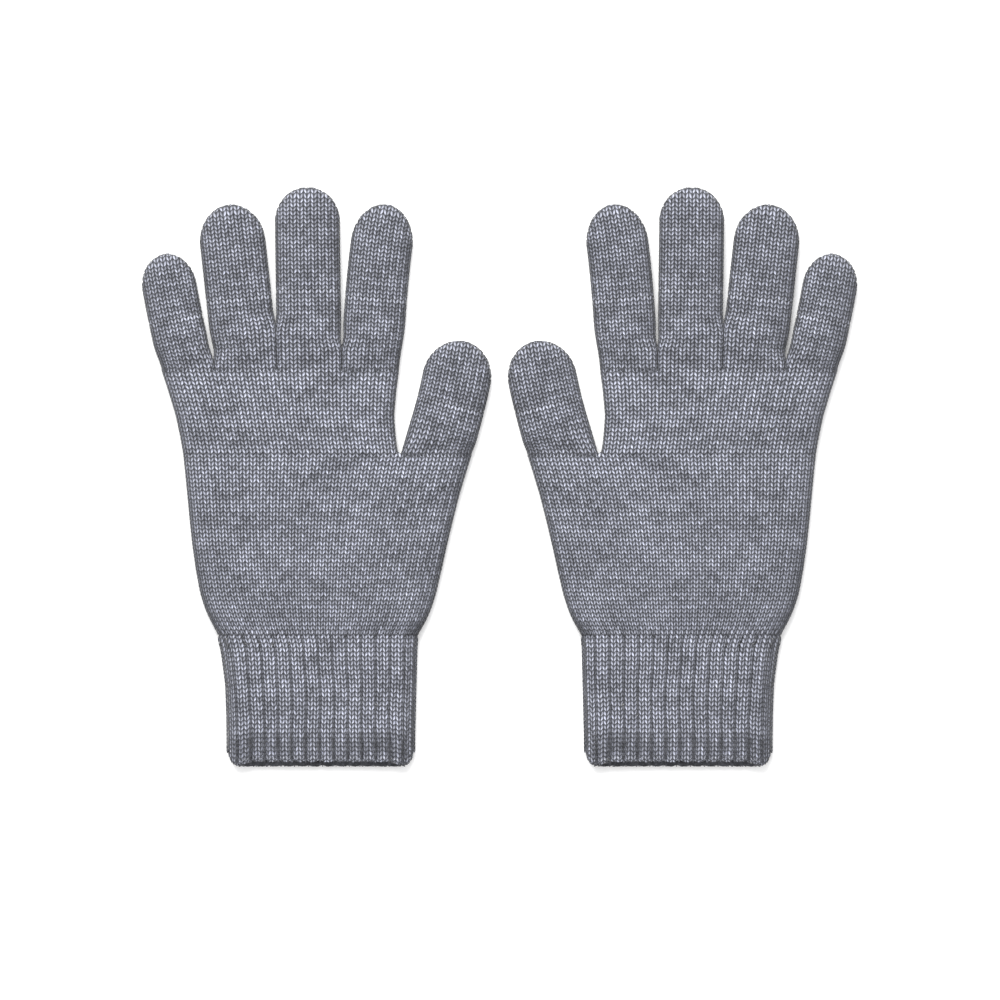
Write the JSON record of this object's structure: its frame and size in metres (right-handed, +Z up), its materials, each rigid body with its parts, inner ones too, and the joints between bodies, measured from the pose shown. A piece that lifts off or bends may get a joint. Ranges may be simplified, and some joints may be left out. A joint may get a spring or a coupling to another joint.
{
  "type": "knitted gloves",
  "caption": "Pair of flat-knit gloves with ribbed cuffs, lying palm up; every digit bends at the knuckle and mid joint, and the cuffs fold.",
  "frame": {"origin": "under the middle of the pair, on the surface that the gloves lie on", "axes": "+X across the pair towards the right glove, +Y from the cuffs towards the fingertips, +Z up from the surface"},
  "size_m": [0.321, 0.2609, 0.01],
  "materials": {
    "jersey_knit": "heather grey plain-knit wool, soft and matt",
    "rib_knit": "heather grey two-by-one ribbed wool, soft and matt",
    "edge_yarn": "heather grey wool yarn, soft and matt"
  },
  "bodies": {
    "left_hand": {"left_lower_palm": "jersey_knit", "left_upper_palm": "jersey_knit", "left_fork_stitches": "edge_yarn"},
    "left_little_finger_base": {"left_little_base": "jersey_knit"},
    "left_little_finger_tip": {"left_little_tip": "jersey_knit"},
    "left_ring_finger_base": {"left_ring_base": "jersey_knit"},
    "left_ring_finger_tip": {"left_ring_tip": "jersey_knit"},
    "left_middle_finger_base": {"left_middle_base": "jersey_knit"},
    "left_middle_finger_tip": {"left_middle_tip": "jersey_knit"},
    "left_index_finger_base": {"left_index_base": "jersey_knit"},
    "left_index_finger_tip": {"left_index_tip": "jersey_knit"},
    "left_thumb_base": {"left_thumb_base": "jersey_knit"},
    "left_thumb_tip": {"left_thumb_tip": "jersey_knit"},
    "left_cuff": {"left_cuff": "rib_knit", "left_cuff_edge": "edge_yarn"},
    "right_hand": {"right_lower_palm": "jersey_knit", "right_upper_palm": "jersey_knit", "right_fork_stitches": "edge_yarn"},
    "right_little_finger_base": {"right_little_base": "jersey_knit"},
    "right_little_finger_tip": {"right_little_tip": "jersey_knit"},
    "right_ring_finger_base": {"right_ring_base": "jersey_knit"},
    "right_ring_finger_tip": {"right_ring_tip": "jersey_knit"},
    "right_middle_finger_base": {"right_middle_base": "jersey_knit"},
    "right_middle_finger_tip": {"right_middle_tip": "jersey_knit"},
    "right_index_finger_base": {"right_index_base": "jersey_knit"},
    "right_index_finger_tip": {"right_index_tip": "jersey_knit"},
    "right_thumb_base": {"right_thumb_base": "jersey_knit"},
    "right_thumb_tip": {"right_thumb_tip": "jersey_knit"},
    "right_cuff": {"right_cuff": "rib_knit", "right_cuff_edge": "edge_yarn"}
  },
  "joints": [
    {"name": "right_glove_lift", "type": "slide", "parent": "left_hand", "child": "right_hand", "axis": [0, 0, 1], "range_m": [0, 0.15]},
    {"name": "left_little_finger_bend", "type": "hinge", "parent": "left_hand", "child": "left_little_finger_base", "pos_m": [-0.1402, 0.0486, 0.01], "axis": [1, 0, 0], "range_deg": [0, 90]},
    {"name": "left_little_finger_curl", "type": "hinge", "parent": "left_little_finger_base", "child": "left_little_finger_tip", "pos_m": [-0.14529, 0.07044, 0.01], "axis": [0.9822, 0.1876, 0], "range_deg": [0, 100]},
    {"name": "left_ring_finger_bend", "type": "hinge", "parent": "left_hand", "child": "left_ring_finger_base", "pos_m": [-0.1137, 0.0486, 0.01], "axis": [1, 0, 0], "range_deg": [0, 90]},
    {"name": "left_ring_finger_curl", "type": "hinge", "parent": "left_ring_finger_base", "child": "left_ring_finger_tip", "pos_m": [-0.11699, 0.07968, 0.01], "axis": [0.994, 0.1098, 0], "range_deg": [0, 100]},
    {"name": "left_middle_finger_bend", "type": "hinge", "parent": "left_hand", "child": "left_middle_finger_base", "pos_m": [-0.0853, 0.0486, 0.01], "axis": [1, 0, 0], "range_deg": [0, 90]},
    {"name": "left_middle_finger_curl", "type": "hinge", "parent": "left_middle_finger_base", "child": "left_middle_finger_tip", "pos_m": [-0.08589, 0.083, 0.01], "axis": [0.9999, 0.0171, 0], "range_deg": [0, 100]},
    {"name": "left_index_finger_bend", "type": "hinge", "parent": "left_hand", "child": "left_index_finger_base", "pos_m": [-0.0575, 0.0486, 0.01], "axis": [1, 0, 0], "range_deg": [0, 90]},
    {"name": "left_index_finger_curl", "type": "hinge", "parent": "left_index_finger_base", "child": "left_index_finger_tip", "pos_m": [-0.05561, 0.07968, 0.01], "axis": [0.9977, -0.0675, 0], "range_deg": [0, 100]},
    {"name": "left_thumb_bend", "type": "hinge", "parent": "left_hand", "child": "left_thumb_base", "pos_m": [-0.0286, 0.0104, 0.01], "axis": [1, 0, 0], "range_deg": [0, 60]},
    {"name": "left_thumb_curl", "type": "hinge", "parent": "left_thumb_base", "child": "left_thumb_tip", "pos_m": [-0.02223, 0.0319, 0.01], "axis": [0.9772, -0.2125, 0], "range_deg": [0, 80]},
    {"name": "left_wrist_bend", "type": "hinge", "parent": "left_hand", "child": "left_cuff", "pos_m": [-0.0816, -0.0707, 0.01], "axis": [-1, 0, 0], "range_deg": [0, 60]},
    {"name": "right_little_finger_bend", "type": "hinge", "parent": "right_hand", "child": "right_little_finger_base", "pos_m": [0.1402, 0.0486, 0.01], "axis": [1, 0, 0], "range_deg": [0, 90]},
    {"name": "right_little_finger_curl", "type": "hinge", "parent": "right_little_finger_base", "child": "right_little_finger_tip", "pos_m": [0.14529, 0.07044, 0.01], "axis": [0.9822, -0.1876, 0], "range_deg": [0, 100]},
    {"name": "right_ring_finger_bend", "type": "hinge", "parent": "right_hand", "child": "right_ring_finger_base", "pos_m": [0.1137, 0.0486, 0.01], "axis": [1, 0, 0], "range_deg": [0, 90]},
    {"name": "right_ring_finger_curl", "type": "hinge", "parent": "right_ring_finger_base", "child": "right_ring_finger_tip", "pos_m": [0.11699, 0.07968, 0.01], "axis": [0.994, -0.1098, 0], "range_deg": [0, 100]},
    {"name": "right_middle_finger_bend", "type": "hinge", "parent": "right_hand", "child": "right_middle_finger_base", "pos_m": [0.0853, 0.0486, 0.01], "axis": [1, 0, 0], "range_deg": [0, 90]},
    {"name": "right_middle_finger_curl", "type": "hinge", "parent": "right_middle_finger_base", "child": "right_middle_finger_tip", "pos_m": [0.08589, 0.083, 0.01], "axis": [0.9999, -0.0171, 0], "range_deg": [0, 100]},
    {"name": "right_index_finger_bend", "type": "hinge", "parent": "right_hand", "child": "right_index_finger_base", "pos_m": [0.0575, 0.0486, 0.01], "axis": [1, 0, 0], "range_deg": [0, 90]},
    {"name": "right_index_finger_curl", "type": "hinge", "parent": "right_index_finger_base", "child": "right_index_finger_tip", "pos_m": [0.05561, 0.07968, 0.01], "axis": [0.9977, 0.0675, 0], "range_deg": [0, 100]},
    {"name": "right_thumb_bend", "type": "hinge", "parent": "right_hand", "child": "right_thumb_base", "pos_m": [0.0286, 0.0104, 0.01], "axis": [1, 0, 0], "range_deg": [0, 60]},
    {"name": "right_thumb_curl", "type": "hinge", "parent": "right_thumb_base", "child": "right_thumb_tip", "pos_m": [0.02223, 0.0319, 0.01], "axis": [0.9772, 0.2125, 0], "range_deg": [0, 80]},
    {"name": "right_wrist_bend", "type": "hinge", "parent": "right_hand", "child": "right_cuff", "pos_m": [0.0816, -0.0707, 0.01], "axis": [-1, 0, 0], "range_deg": [0, 60]}
  ]
}
